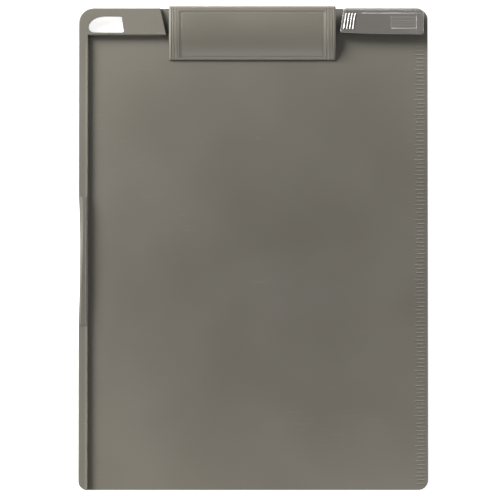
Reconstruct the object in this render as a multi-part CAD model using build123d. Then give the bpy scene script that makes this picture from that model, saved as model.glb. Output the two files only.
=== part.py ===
from build123d import *
import math
import os

os.makedirs("parts", exist_ok=True)

# A4 clipboard, lying on its back.  +Z comes out of the writing face, +Y points
# to the header and +X to the ruler edge.  The origin is under the middle of the
# whole clipboard, on the plane that it rests on.  Lengths are in millimetres.
# Places along the board are given as "down": the distance below its top edge.

# ---- board ----
BOARD_W = 232.0
BOARD_L = 320.0
PLATE_T = 2.5
RAISED_Z = 6.6            # top of the left rim and of the header
RIM_W = 6.2
HEADER_D = 18.0
TOP_LEFT_R = 10.0
TOP_RIGHT_R = 7.0
BOTTOM_LEFT_R = 6.0
BOTTOM_RIGHT_R = 6.5
RIM_ROUND = 0.7
PLATE_ROUND = 0.5
SLANT = 4.1               # sideways lean of the header's ends over its depth

# ---- clip ----
CLIP_X = -0.65            # middle of the clip
CLIP_W = 110.6
CLIP_OVERHANG = 1.0       # how far the clip's thumb edge passes the board's edge
CLIP_FRONT = 34.4         # the jaw's front edge, down from the board's top edge
CLIP_TOP_Z = 12.0
CLIP_FLAT_END = 6.0       # where the flat rear of the clip turns into its curve
CLIP_NOSE_Z = 3.7
CLIP_SKIN = 1.5
CLIP_SKIRT_Z = 3.0
CLIP_THUMB_ROUND = 1.4
CLIP_NOSE_ROUND = 0.5
CLIP_BEVEL_W = 1.1
CLIP_BEVEL_DEPTH = 0.9
CLIP_GROOVE_INSETS = (1.6, 3.3)
CLIP_GROOVE_W = 0.5
CLIP_GROOVE_DEPTH = 0.3
PANEL_HALF_W = 47.4
PANEL_DEPTH = 0.5
PANEL_START = 1.9
PANEL_END = 32.6
PANEL_SLOPE_W = 1.7       # sideways run of the slope from the flank down to the panel
JAW_HALF_W = 48.0
JAW_RIB_W = 0.6
JAW_RIB_PITCH = 1.6

# ---- clip hinge ----
HINGE_DOWN = 11.0
HINGE_Z = 6.4
AXLE_D = 3.0
AXLE_L = 105.2
RUNNING_GAP = 0.05        # radial clearance of a turning fit
EYE_R = 2.6               # outside of the clip's eyes
EYE_INNER = 49.0          # where each eye starts, sideways from the clip's middle
EYE_T = 1.6
BRACKET_T = 1.0
BRACKET_W = 95.8
EAR_R = 2.8
RING_T = 0.6
RING_D = 6.0
RING_GROOVE_D = 2.3
RING_FACE = 50.8          # inner face of each ring, sideways from the clip's middle
CLIP_SPRING_WIRE = 1.0
CLIP_SPRING_R = 2.35      # middle of the wire
RIVET_D = 4.0
RIVET_HEAD_D = 7.0
RIVET_HEAD_T = 0.6
RIVET_RECESS_R = 3.9      # recess in the board's back round the flared end
RIVET_RECESS_Z = 0.9
RIVET_DOWN = 10.0
RIVET_X = (-34.0, -12.0, 12.0, 34.0)

# ---- pen arm ----
ARM_HINGE_X = 71.5
ARM_HINGE_Z = 5.8
ARM_TOP_Z = 9.6
ARM_SKIN = 1.8
ARM_SKIRT = 1.2
ARM_SKIRT_Z = 6.9         # underside of the skirt along the clamping arm
ARM_HEEL_Z = 4.2          # underside of the skirt round the pin
ARM_RIGHT = 113.0
ARM_LEFT_TOP = 59.8       # the slanted thumb end, at the top edge
ARM_LEFT_LOW = 57.3       # and at the lower edge
ARM_START = 0.3
ARM_CORNER_R = 1.2
ARM_BOARD_CORNER_R = 4.0  # the corner that follows the board's own
ARM_LOW_LEFT = 16.7
ARM_LOW_RIGHT = 17.8
ARM_PIN_D = 2.0
ARM_SPRING_WIRE = 0.6
ARM_SPRING_R = 1.45
RIDGE_COUNT = 4
RIDGE_PITCH = 2.0
RIDGE_W = 0.8
RIDGE_LEAN = 1.65         # sideways lean of a ridge over its length
LABEL_DEPTH = 0.35
LUG_R = 1.6
LUG_T = 1.9
LUG_STARTS = (2.8, 12.9)

# ---- grip strip on the rim ----
GRIP_START = 125.6
GRIP_END = 211.3
GRIP_W = 4.7
GRIP_INSET = 0.5          # from the rim's inner wall to the grip
GRIP_TOP_Z = 8.1
WAIST = 0.93              # how far the edge is drawn in beside the grip
WAIST_START = 124.5
WAIST_MIDDLE = 171.0
WAIST_END = 210.0

TOP_Y = (BOARD_L - CLIP_OVERHANG) / 2
LEFT_X = -BOARD_W / 2
RIGHT_X = BOARD_W / 2
BOTTOM_Y = TOP_Y - BOARD_L
RIM_IN_X = LEFT_X + RIM_W
NOTCH_X = CLIP_X - CLIP_W / 2 - 5.75
HINGE_Y = TOP_Y - HINGE_DOWN
BRACKET_TOP = PLATE_T + BRACKET_T
PANEL_SKIN_TOP = CLIP_TOP_Z - PANEL_DEPTH
CLIP_ROOF = PANEL_SKIN_TOP - CLIP_SKIN


def down(distance):
    """The Y of a place that lies this far below the board's top edge."""
    return TOP_Y - distance


def block(x0, x1, down0, down1, z0, z1):
    """A box between two X, two places down the board and two heights."""
    size = (x1 - x0, down1 - down0, z1 - z0)
    middle = ((x0 + x1) / 2, down((down0 + down1) / 2), (z0 + z1) / 2)
    return Pos(*middle) * Box(*size)


def slab(points, z0, z1):
    """A plate with a straight-sided outline of (x, down) points."""
    outline = Polyline([(x, down(d)) for x, d in points], close=True)
    return extrude(Pos(0, 0, z0) * make_face(outline), amount=z1 - z0, dir=(0, 0, 1))


def disc_x(radius, x0, x1, middle_down, z):
    """A cylinder along X."""
    place = Plane(origin=(x0, down(middle_down), z), z_dir=(1, 0, 0))
    return extrude(place * Circle(radius), amount=x1 - x0)


def disc_y(radius, x, down0, down1, z):
    """A cylinder along Y, from one place down the board to another."""
    place = Plane(origin=(x, down(down0), z), z_dir=(0, -1, 0))
    return extrude(place * Circle(radius), amount=down1 - down0)


def disc_z(radius, x, middle_down, z0, z1):
    """A cylinder along Z."""
    return Pos(x, down(middle_down), z0) * extrude(Circle(radius), amount=z1 - z0)


def save(shape, node):
    """Write one piece, or one group of like pieces, as its own STEP file."""
    shape.label = node
    export_step(shape, f"parts/{node}.step")


# ---------------------------------------------------------------- board ----
def board_blank(height):
    """The board's outline with its four corner radii, up to a height."""
    blank = block(LEFT_X, RIGHT_X, 0, BOARD_L, 0, height)
    corners = [
        (LEFT_X, TOP_Y, TOP_LEFT_R),
        (RIGHT_X, TOP_Y, TOP_RIGHT_R),
        (LEFT_X, BOTTOM_Y, BOTTOM_LEFT_R),
        (RIGHT_X, BOTTOM_Y, BOTTOM_RIGHT_R),
    ]
    for x, y, radius in corners:
        upright = blank.edges().filter_by(Axis.Z)
        corner = upright.sort_by_distance((x, y, height / 2))[0]
        blank = fillet(corner, radius)
    return blank


def hang_hole():
    """The D-shaped hanging hole: a swept upper corner and a slanted right end."""
    tip_x, sweep_x, right_x = -109.6, -98.6, -86.0
    top, tip, low = 5.2, 12.2, 16.2
    low_r = low - tip
    sweep_r = (sweep_x - tip_x, tip - top)
    sweep_curve = EllipticalCenterArc((sweep_x, down(tip)), *sweep_r, start_angle=90, arc_size=90)
    low_curve = CenterArc((tip_x + low_r, down(tip)), low_r, 180, 90)
    low_edge = Line((tip_x + low_r, down(low)), (right_x, down(low)))
    right_edge = Line((right_x, down(low)), (right_x - 1.6, down(top)))
    top_edge = Line((right_x - 1.6, down(top)), (sweep_x, down(top)))
    outline = make_face([sweep_curve, low_curve, low_edge, right_edge, top_edge])
    hole = extrude(Pos(0, 0, -1) * outline, amount=RAISED_Z + 2)
    uprights = hole.edges().filter_by(Axis.Z)
    sharp = [uprights.sort_by_distance((right_x, down(d), 0))[0] for d in (top, low)]
    return fillet(sharp, 1.0)


def header_pockets():
    """Cored-out pockets in the back of the header, with ribs between them."""
    pockets = Part()
    for index in range(3):
        x0 = -83.4 + index * 6.6
        pockets += block(x0, x0 + 5.4, 2.4, 15.6, -1, RAISED_Z - PLATE_T)
    return pockets


def arm_lugs():
    """Two moulded lugs that hold the pen arm's pin."""
    lugs = Part()
    for start in LUG_STARTS:
        end = start + LUG_T
        lugs += disc_y(LUG_R, ARM_HINGE_X, start, end, ARM_HINGE_Z)
        lugs += block(ARM_HINGE_X - LUG_R, ARM_HINGE_X + LUG_R, start, end, PLATE_T - 1, ARM_HINGE_Z)
    return lugs


def edge_waist():
    """What is taken off the left edge beside the grip: a long shallow bow."""
    start = (LEFT_X, down(WAIST_START))
    middle = (LEFT_X + WAIST, down(WAIST_MIDDLE))
    end = (LEFT_X, down(WAIST_END))
    bow = Spline(start, middle, end, tangents=[(0.06, -1), (-0.045, -1)])
    outside = Polyline([end, (LEFT_X - 1, down(WAIST_END)), (LEFT_X - 1, down(WAIST_START)), start])
    face = make_face([bow] + outside.edges())
    return extrude(Pos(0, 0, -1) * face, amount=RAISED_Z + 2, dir=(0, 0, 1))


def make_board():
    """Plate, left rim and header in one moulding."""
    raised = block(LEFT_X, RIM_IN_X, 0, BOARD_L, 0, RAISED_Z)
    header = [(LEFT_X, 0), (NOTCH_X, 0), (NOTCH_X + SLANT, HEADER_D), (LEFT_X, HEADER_D)]
    raised += slab(header, 0, RAISED_Z)
    raised = raised & board_blank(RAISED_Z)
    board = board_blank(PLATE_T) + raised
    board -= edge_waist()
    top_edges = board.edges().group_by(Axis.Z)[-1]
    board = fillet(top_edges, RIM_ROUND)
    board -= hang_hole()
    board -= header_pockets()
    groove_x = RIM_IN_X - GRIP_INSET - GRIP_W / 2
    board -= block(groove_x - 1, groove_x + 1, GRIP_START + 4, GRIP_END - 12, 4.2, RAISED_Z + 1)
    board += arm_lugs()
    board -= disc_y(ARM_PIN_D / 2, ARM_HINGE_X, 0, HEADER_D, ARM_HINGE_Z)
    for x in RIVET_X:
        board -= disc_z(RIVET_D / 2, CLIP_X + x, RIVET_DOWN, -1, PLATE_T + 1)
        board -= disc_z(RIVET_RECESS_R, CLIP_X + x, RIVET_DOWN, -1, RIVET_RECESS_Z)
    return board


# ----------------------------------------------------------------- clip ----
CLIP_RUN = CLIP_FRONT - CLIP_FLAT_END
CLIP_DROP = CLIP_TOP_Z - CLIP_NOSE_Z
CLIP_ARC_R = (CLIP_RUN ** 2 + CLIP_DROP ** 2) / (2 * CLIP_DROP)
CLIP_ARC_Z = CLIP_TOP_Z - CLIP_ARC_R


def roof_height(depth, place):
    """Height of the clip's long arc, sunk by a depth, at one place down the board."""
    return CLIP_ARC_Z + math.sqrt((CLIP_ARC_R - depth) ** 2 - (place - CLIP_FLAT_END) ** 2)


def clip_side(depth, start, end, lower, half_width):
    """A solid with the clip's side view: its top line sunk by a depth, then (down, z) points."""
    flat_start = (down(start), CLIP_TOP_Z - depth)
    flat_end = (down(CLIP_FLAT_END), CLIP_TOP_Z - depth)
    arc_end = (down(end), roof_height(depth, end))
    roof = Line(flat_start, flat_end)
    arc = TangentArc(flat_end, arc_end, tangent=(-1, 0))
    rest = Polyline([arc_end] + [(down(d), z) for d, z in lower] + [flat_start])
    side = make_face([roof, arc] + rest.edges())
    return Pos(CLIP_X, 0, 0) * extrude(Plane.YZ * side, amount=half_width, both=True)


def along_roof(section, start, end):
    """Carry a section of (x, depth) points along the clip's top line, flat part then arc.

    Both planes face -Y, the way that "down" grows, so the section is extruded and
    turned from the thumb edge towards the nose.
    """
    points = [(CLIP_X + x, CLIP_TOP_Z - depth) for x, depth in section]
    face = make_face(Polyline(points, close=True))
    turn_place = Plane(origin=(0, down(CLIP_FLAT_END), 0), x_dir=(1, 0, 0), z_dir=(0, -1, 0))
    turn = math.degrees(math.asin((end - CLIP_FLAT_END) / CLIP_ARC_R))
    axis = Axis((0, down(CLIP_FLAT_END), CLIP_ARC_Z), (1, 0, 0))
    curved = revolve(turn_place * face, axis, turn)
    start_place = Plane(origin=(0, down(start), 0), x_dir=(1, 0, 0), z_dir=(0, -1, 0))
    return curved + extrude(start_place * face, amount=CLIP_FLAT_END - start)


def boss_rib(side):
    """A rib inside the clip with the round eye that turns on the axle."""
    left, right = sorted((CLIP_X + side * EYE_INNER, CLIP_X + side * (EYE_INNER + EYE_T)))
    eye = disc_x(EYE_R, left, right, HINGE_DOWN, HINGE_Z)
    web = block(left, right, HINGE_DOWN - EYE_R, HINGE_DOWN + EYE_R, HINGE_Z, CLIP_ROOF + 0.2)
    return eye + web


def make_clip_cover():
    """The moulded flap: skirts all round, and a sunk panel between two flanks."""
    rear = -CLIP_OVERHANG
    skirt = [
        (CLIP_FRONT, CLIP_SKIRT_Z),
        (HINGE_DOWN, CLIP_SKIRT_Z),
        (HINGE_DOWN - 3.5, 4.0),
        (rear, 8.0),
    ]
    cover = clip_side(0, rear, CLIP_FRONT, skirt, CLIP_W / 2)
    thumb = cover.edges().filter_by(Axis.X).sort_by_distance((CLIP_X, down(rear), CLIP_TOP_Z))[0]
    cover = fillet(thumb, CLIP_THUMB_ROUND)
    nose_place = (CLIP_X, down(CLIP_FRONT), CLIP_NOSE_Z)
    nose = cover.edges().filter_by(Axis.X).sort_by_distance(nose_place)[0]
    cover = fillet(nose, CLIP_NOSE_ROUND)
    panel = [
        (-PANEL_HALF_W, PANEL_DEPTH),
        (PANEL_HALF_W, PANEL_DEPTH),
        (PANEL_HALF_W + PANEL_SLOPE_W, 0),
        (PANEL_HALF_W + PANEL_SLOPE_W, -2),
        (-PANEL_HALF_W - PANEL_SLOPE_W, -2),
        (-PANEL_HALF_W - PANEL_SLOPE_W, 0),
    ]
    cover -= along_roof(panel, PANEL_START, PANEL_END)
    for side in (-1, 1):
        edge = side * CLIP_W / 2
        bevel = [
            (edge - side * CLIP_BEVEL_W, 0),
            (edge, CLIP_BEVEL_DEPTH),
            (edge + side, CLIP_BEVEL_DEPTH),
            (edge + side, -2),
            (edge - side * CLIP_BEVEL_W, -2),
        ]
        cover -= along_roof(bevel, rear - 1, CLIP_FRONT + 1)
        for inset in CLIP_GROOVE_INSETS:
            x0 = edge - side * inset
            x1 = x0 - side * CLIP_GROOVE_W
            groove = [(x0, CLIP_GROOVE_DEPTH), (x1, CLIP_GROOVE_DEPTH), (x1, -2), (x0, -2)]
            cover -= along_roof(groove, rear - 1, CLIP_FRONT + 1)
    hollow_start, hollow_end = rear + CLIP_SKIN, CLIP_FRONT - 2.7
    hollow = [(hollow_end, -1), (hollow_start, -1)]
    hollow_half = CLIP_W / 2 - CLIP_SKIN
    cover -= clip_side(CLIP_TOP_Z - CLIP_ROOF, hollow_start, hollow_end, hollow, hollow_half)
    for side in (-1, 1):
        cover += boss_rib(side)
    cover -= disc_x(AXLE_D / 2 + RUNNING_GAP, CLIP_X - 52, CLIP_X + 52, HINGE_DOWN, HINGE_Z)
    return cover


def make_jaw_pad(cover):
    """The rubber strip that fills the wedge between the nose and the paper."""
    left, right = CLIP_X - JAW_HALF_W, CLIP_X + JAW_HALF_W
    strip = block(left, right, CLIP_FRONT - 6.4, CLIP_FRONT - 0.8, PLATE_T + 0.15, 9)
    for step in range(3):
        start = CLIP_FRONT - 5.2 + step * JAW_RIB_PITCH
        strip -= block(left - 1, right + 1, start, start + JAW_RIB_W, 0, PLATE_T + 0.4)
    strip -= cover
    return strip.solids().sort_by(Axis.Z)[0]


def make_bracket():
    """The stamped steel plate under the clip, with an ear bent up at each end."""
    half = BRACKET_W / 2
    plate = block(CLIP_X - half, CLIP_X + half, 3.2, 17.0, PLATE_T, BRACKET_TOP)
    plate = fillet(plate.edges().filter_by(Axis.Z), 1.5)
    plate += block(CLIP_X - 36, CLIP_X + 36, 16.0, 17.0, PLATE_T, BRACKET_TOP + 0.9)
    for side in (-1, 1):
        x0, x1 = sorted((CLIP_X + side * half, CLIP_X + side * (half - BRACKET_T)))
        plate += disc_x(EAR_R, x0, x1, HINGE_DOWN, HINGE_Z)
        plate += block(x0, x1, HINGE_DOWN - EAR_R, HINGE_DOWN + EAR_R, PLATE_T, HINGE_Z)
    plate -= disc_x(AXLE_D / 2, CLIP_X - 60, CLIP_X + 60, HINGE_DOWN, HINGE_Z)
    for x in RIVET_X:
        plate -= disc_z(RIVET_D / 2, CLIP_X + x, RIVET_DOWN, 0, 9)
    return plate


def make_rivets():
    """Tubular rivets: a low head on the bracket, a flared end in the board's back."""
    rivets = []
    for x in RIVET_X:
        rivet = disc_z(RIVET_D / 2, CLIP_X + x, RIVET_DOWN, 0.2, BRACKET_TOP + 0.2)
        head_top = BRACKET_TOP + RIVET_HEAD_T
        head = disc_z(RIVET_HEAD_D / 2, CLIP_X + x, RIVET_DOWN, BRACKET_TOP, head_top)
        rim = head.edges().group_by(Axis.Z)[-1]
        rivet += fillet(rim, 0.35)
        flare = disc_z(RIVET_HEAD_D / 2 - 0.3, CLIP_X + x, RIVET_DOWN, 0.2, RIVET_RECESS_Z)
        rivet += chamfer(flare.edges().group_by(Axis.Z)[0], 0.3)
        rivet -= disc_z(RIVET_D / 2 - 0.8, CLIP_X + x, RIVET_DOWN, -1, PLATE_T - 0.4)
        rivets.append(rivet)
    return Compound(children=rivets)


def ring_faces():
    """Where each retaining ring starts and ends along X."""
    left, right = CLIP_X - RING_FACE, CLIP_X + RING_FACE
    return [(left - RING_T, left), (right, right + RING_T)]


def make_axle():
    """The steel pin that the clip turns on, with a groove near each end."""
    half = AXLE_L / 2
    axle = disc_x(AXLE_D / 2, CLIP_X - half, CLIP_X + half, HINGE_DOWN, HINGE_Z)
    ends = axle.edges().filter_by(GeomType.CIRCLE)
    axle = chamfer(ends, 0.3)
    for x0, x1 in ring_faces():
        collar = disc_x(AXLE_D, x0, x1, HINGE_DOWN, HINGE_Z)
        collar -= disc_x(RING_GROOVE_D / 2, x0, x1, HINGE_DOWN, HINGE_Z)
        axle -= collar
    return axle


def make_ring(x0, x1):
    """An E-ring: a flat steel ring, open at the rear, in the axle's groove."""
    ring = disc_x(RING_D / 2, x0, x1, HINGE_DOWN, HINGE_Z)
    ring -= disc_x(RING_D / 2 - 1.0, x0, x1, HINGE_DOWN, HINGE_Z)
    for turn in (0, 120, 240):
        grip = Pos(0, -(RING_D + RING_GROOVE_D) / 4 + 0.15, 0) * Box(x1 - x0, 1.7, 1.3)
        ring += Pos((x0 + x1) / 2, HINGE_Y, HINGE_Z) * Rot(turn, 0, 0) * grip
    ring -= disc_x(RING_GROOVE_D / 2, x0, x1, HINGE_DOWN, HINGE_Z)
    mouth = Pos((x0 + x1) / 2, HINGE_Y + 2.4, HINGE_Z) * Box(x1 - x0 + 1, 2.6, 2.0)
    ring -= mouth
    return ring.solids().sort_by(SortBy.VOLUME)[-1]


def torsion_spring(wire, radius, turns, leg, place):
    """Close-wound wire about the place's Z, with a straight leg leaving each end.

    The first leg arrives along the place's +Y at (radius, 0); the second leaves
    along the coil's tangent after the given number of turns.
    """
    pitch = wire * 1.1
    coil = Helix(pitch, pitch * turns, radius)
    start, end = coil @ 0, coil @ 1
    first = Line(start - (coil % 0) * leg, start)
    last = Line(end, end + (coil % 1) * leg)
    path = Wire([first, coil, last])
    section = Plane(origin=first @ 0, z_dir=first % 0) * Circle(wire / 2)
    return place * sweep(section, path, is_frenet=True)


def make_clip_springs():
    """The right spring, and its mirror image on the left."""
    place = Plane(
        origin=(CLIP_X + BRACKET_W / 2 - BRACKET_T - 0.8, HINGE_Y, HINGE_Z),
        x_dir=(0, 0, -1),
        z_dir=(-1, 0, 0),
    )
    right = torsion_spring(CLIP_SPRING_WIRE, CLIP_SPRING_R, 4.49, 6.5, place)
    left = mirror(right, about=Plane(origin=(CLIP_X, 0, 0), z_dir=(1, 0, 0)))
    return left, right


# -------------------------------------------------------------- pen arm ----
def arm_outline():
    """Plan of the pen arm: slanted thumb end, lower edge bowed a little outwards."""
    left_top = (ARM_LEFT_TOP, down(ARM_START))
    left_low = (ARM_LEFT_LOW, down(ARM_LOW_LEFT))
    right_low = (ARM_RIGHT, down(ARM_LOW_RIGHT))
    right_top = (ARM_RIGHT, down(ARM_START))
    bow = ((ARM_LEFT_LOW + ARM_RIGHT) / 2, down((ARM_LOW_LEFT + ARM_LOW_RIGHT) / 2 + 0.35))
    low = ThreePointArc(left_low, bow, right_low)
    sides = [Line(left_top, left_low), Line(right_low, right_top), Line(right_top, left_top)]
    return make_face([low] + sides)


def make_pen_arm():
    """A glossy see-saw arm: ridged thumb pad left of its pin, clamping arm right of it."""
    plan = arm_outline()
    arm = extrude(Pos(0, 0, ARM_HEEL_Z) * plan, amount=ARM_TOP_Z - ARM_HEEL_Z)
    corners = arm.edges().filter_by(Axis.Z).sort_by_distance((ARM_RIGHT, down(ARM_START), ARM_TOP_Z))
    arm = fillet(corners[0], ARM_BOARD_CORNER_R)
    corners = arm.edges().filter_by(Axis.Z).sort_by_distance((ARM_RIGHT, down(ARM_START), ARM_TOP_Z))
    arm = fillet(corners[2:], ARM_CORNER_R)
    side_view = [
        (ARM_LEFT_LOW - 1, ARM_TOP_Z - ARM_SKIN),
        (ARM_HINGE_X - 5.4, ARM_TOP_Z - ARM_SKIN),
        (ARM_HINGE_X - 2.6, ARM_HEEL_Z),
        (ARM_HINGE_X + 2.6, ARM_HEEL_Z),
        (ARM_HINGE_X + 6.0, ARM_SKIRT_Z),
        (ARM_RIGHT + 1, ARM_SKIRT_Z),
        (ARM_RIGHT + 1, ARM_TOP_Z + 1),
        (ARM_LEFT_LOW - 1, ARM_TOP_Z + 1),
    ]
    side_face = make_face(Polyline(side_view, close=True))
    side_plane = Plane(origin=(0, TOP_Y + 1, 0), x_dir=(1, 0, 0), z_dir=(0, -1, 0))
    arm &= extrude(side_plane * side_face, amount=HEADER_D + 4)
    thumb_slope = [
        (ARM_LEFT_LOW - 2, ARM_TOP_Z - 1.4),
        (ARM_LEFT_LOW - 2, ARM_TOP_Z + 2),
        (ARM_LEFT_LOW + 6, ARM_TOP_Z + 2),
        (ARM_LEFT_LOW + 6, ARM_TOP_Z),
    ]
    slope_face = make_face(Polyline(thumb_slope, close=True))
    arm -= extrude(side_plane * slope_face, amount=HEADER_D + 4)
    arm = fillet(arm.edges().group_by(Axis.Z)[-1], 0.5)
    hollow = block(
        ARM_HINGE_X - 6.5,
        ARM_RIGHT - ARM_SKIRT,
        ARM_START + ARM_SKIRT,
        ARM_LOW_LEFT - ARM_SKIRT - 0.1,
        0,
        ARM_TOP_Z - ARM_SKIN,
    )
    arm -= hollow
    label = block(91.4, 108.2, 5.6, 13.7, ARM_TOP_Z - LABEL_DEPTH, ARM_TOP_Z + 1)
    arm -= fillet(label.edges().filter_by(Axis.Z), 0.8)
    arm -= disc_y(ARM_PIN_D / 2 + RUNNING_GAP, ARM_HINGE_X, 0, HEADER_D, ARM_HINGE_Z)
    for index in range(RIDGE_COUNT):
        x0 = 61.3 + index * RIDGE_PITCH
        x1 = x0 + RIDGE_W
        ridge = [(x0, 3.8), (x1, 3.8), (x1 - RIDGE_LEAN, 14.4), (x0 - RIDGE_LEAN, 14.4)]
        arm += slab(ridge, ARM_TOP_Z - 0.9, ARM_TOP_Z + 0.45)
    for index in range(5):
        start = 7.0 + index * 1.6
        arm += block(92.6, 107.0, start, start + 0.7, ARM_TOP_Z - 0.5, ARM_TOP_Z - 0.05)
    return arm


def make_arm_pin():
    """The steel pin that the pen arm rocks on."""
    pin = disc_y(ARM_PIN_D / 2, ARM_HINGE_X, ARM_START, ARM_LOW_LEFT + 0.4, ARM_HINGE_Z)
    return chamfer(pin.edges().filter_by(GeomType.CIRCLE), 0.2)


def make_arm_spring():
    """The small spring between the lugs that holds the arm down on the pen."""
    place = Plane(
        origin=(ARM_HINGE_X, down(6.6), ARM_HINGE_Z),
        x_dir=(0, 0, -1),
        z_dir=(0, -1, 0),
    )
    return torsion_spring(ARM_SPRING_WIRE, ARM_SPRING_R, 5.5, 7.5, place)


# ----------------------------------------------------------- grip strip ----
def make_grip():
    """The soft strip set into the rim: a square upper end and a long lower taper."""
    x1 = RIM_IN_X - GRIP_INSET
    x0 = x1 - GRIP_W
    strip = block(x0, x1, GRIP_START, GRIP_END, RAISED_Z, GRIP_TOP_Z)
    taper = [
        (down(GRIP_END - 26), GRIP_TOP_Z),
        (down(GRIP_END + 1), RAISED_Z + 0.3),
        (down(GRIP_END + 1), GRIP_TOP_Z + 1),
        (down(GRIP_END - 26), GRIP_TOP_Z + 1),
    ]
    wedge = make_face(Polyline(taper, close=True))
    strip -= Pos(x0 - 1, 0, 0) * extrude(Plane.YZ * wedge, amount=GRIP_W + 2)
    along = strip.edges().group_by(Axis.Z)[-1]
    strip = fillet(along, 0.5)
    middle = (x0 + x1) / 2
    strip += block(middle - 1, middle + 1, GRIP_START + 4, GRIP_END - 12, 4.2, RAISED_Z + 0.1)
    return strip


# ---------------------------------------------------------------- write ----
clip_cover = make_clip_cover()
spring_left, spring_right = make_clip_springs()
ring_left, ring_right = [make_ring(x0, x1) for x0, x1 in ring_faces()]

save(make_board(), "board")
save(clip_cover, "clip_cover")
save(make_jaw_pad(clip_cover), "clip_jaw_pad")
save(make_bracket(), "clip_bracket")
save(make_rivets(), "bracket_rivets")
save(make_axle(), "clip_axle")
save(ring_left, "axle_ring_left")
save(ring_right, "axle_ring_right")
save(spring_left, "clip_spring_left")
save(spring_right, "clip_spring_right")
save(make_pen_arm(), "pen_arm")
save(make_arm_pin(), "pen_arm_pin")
save(make_arm_spring(), "pen_arm_spring")
save(make_grip(), "grip_strip")
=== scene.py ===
# %% [markdown]
# # An A4 clipboard, lying on its back
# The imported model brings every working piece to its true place: the moulded
# board, the sprung paper clip, the rocking pen arm, their pins and springs.
# This lesson dresses that frame.  Pieces that already have the right shape
# only get a finish; the flap, the pen arm, the grip and the wire springs are
# built again as smooth surfaces, because a close view shows their curves.

# %% Load the frame
import math

import bpy
import numpy as np
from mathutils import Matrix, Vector


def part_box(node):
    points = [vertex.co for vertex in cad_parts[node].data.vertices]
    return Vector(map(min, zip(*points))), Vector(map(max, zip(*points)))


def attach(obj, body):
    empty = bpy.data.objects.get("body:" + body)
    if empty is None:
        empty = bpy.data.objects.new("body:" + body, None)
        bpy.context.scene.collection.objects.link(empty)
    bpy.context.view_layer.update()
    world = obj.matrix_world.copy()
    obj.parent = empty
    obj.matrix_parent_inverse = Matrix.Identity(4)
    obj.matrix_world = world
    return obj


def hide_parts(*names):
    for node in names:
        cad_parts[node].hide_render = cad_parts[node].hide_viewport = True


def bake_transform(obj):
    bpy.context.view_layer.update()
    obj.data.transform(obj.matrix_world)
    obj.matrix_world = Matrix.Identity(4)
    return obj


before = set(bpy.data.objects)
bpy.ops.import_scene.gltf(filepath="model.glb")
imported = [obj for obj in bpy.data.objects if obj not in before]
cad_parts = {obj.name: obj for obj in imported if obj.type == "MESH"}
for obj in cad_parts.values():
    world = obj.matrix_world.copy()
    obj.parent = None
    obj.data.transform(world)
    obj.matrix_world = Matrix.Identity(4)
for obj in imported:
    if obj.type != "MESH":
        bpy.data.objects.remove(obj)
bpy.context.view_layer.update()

MM = 0.001

# %% [markdown]
# ## Where things are
# Every place is read from the frame, in millimetres.  "Down" is the distance
# below the board's top edge, the way that one would measure with a ruler from
# the header.


# %% Places read from the frame
def box_mm(node):
    """Lowest and highest corner of a CAD node, in millimetres."""
    low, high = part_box(node)
    return np.array(low) / MM, np.array(high) / MM


board_high = box_mm("board")[1]
flap_low, flap_high = box_mm("clip_cover")
arm_high = box_mm("pen_arm")[1]
pin_low, pin_high = box_mm("pen_arm_pin")
axle_low, axle_high = box_mm("clip_axle")
bracket_low, bracket_high = box_mm("clip_bracket")
grip_low, grip_high = box_mm("grip_strip")

TOP_Y = board_high[1]
PLATE_TOP = bracket_low[2]          # the bracket lies on the plate
FLAP_X = (flap_low[0] + flap_high[0]) / 2
FLAP_HALF = (flap_high[0] - flap_low[0]) / 2
AXLE_Y, AXLE_Z = ((axle_low + axle_high) / 2)[1:]
ARM_PIN_X, _, ARM_PIN_Z = (pin_low + pin_high) / 2
print("plate top", round(PLATE_TOP, 2), "axle", AXLE_Y.round(2), AXLE_Z.round(2))

# %% [markdown]
# ## Camera
# A long lens two metres above the board keeps its edges nearly square.  The
# camera stands a little towards the bottom edge and leans by about a degree
# and a half, so that edge looks a touch wider than the header.

# %% The camera
CAMERA_DISTANCE = 2.0
CAMERA_LEAN = math.radians(1.43)
FRAME_WIDTH = 0.3322                # what the image takes in, at the board
SENSOR = 36.0

camera_data = bpy.data.cameras.new("studio_camera")
camera_data.sensor_width = SENSOR
camera_data.lens = SENSOR * CAMERA_DISTANCE / FRAME_WIDTH
camera = bpy.data.objects.new("studio_camera", camera_data)
bpy.context.scene.collection.objects.link(camera)
aim = Vector((-0.0022, -0.0013, 0.003))
lean = Vector((0.0, -math.sin(CAMERA_LEAN), math.cos(CAMERA_LEAN)))
camera.location = aim + lean * CAMERA_DISTANCE
camera.rotation_euler = (-lean).to_track_quat("-Z", "Y").to_euler()
bpy.context.scene.camera = camera
print("lens", round(camera_data.lens, 1), "mm")

# %% [markdown]
# ## Studio
# One large soft light stands beyond the upper left corner, low enough to throw
# the short shadows under the header, the flap and the arm, and a weak one in
# front opens those shadows a little.  Four thin strips round the table are
# seen by reflections only: they draw bright lines along bevels and ridges and
# leave the shadows alone.  Four weak panels in a ring overhead even the light
# out, and the room itself glows mostly near the horizon.


# %% Lights
def area_light(name, place, size, power, target=(0, 0, 0)):
    """A rectangular soft light at a place, turned to face a target."""
    data = bpy.data.lights.new(name, "AREA")
    data.shape = "RECTANGLE"
    data.size, data.size_y = size
    data.energy = power
    light = bpy.data.objects.new(name, data)
    light.location = place
    aim_line = Vector(target) - Vector(place)
    light.rotation_euler = aim_line.to_track_quat("-Z", "Y").to_euler()
    light.visible_camera = False
    bpy.context.scene.collection.objects.link(light)
    return light


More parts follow.
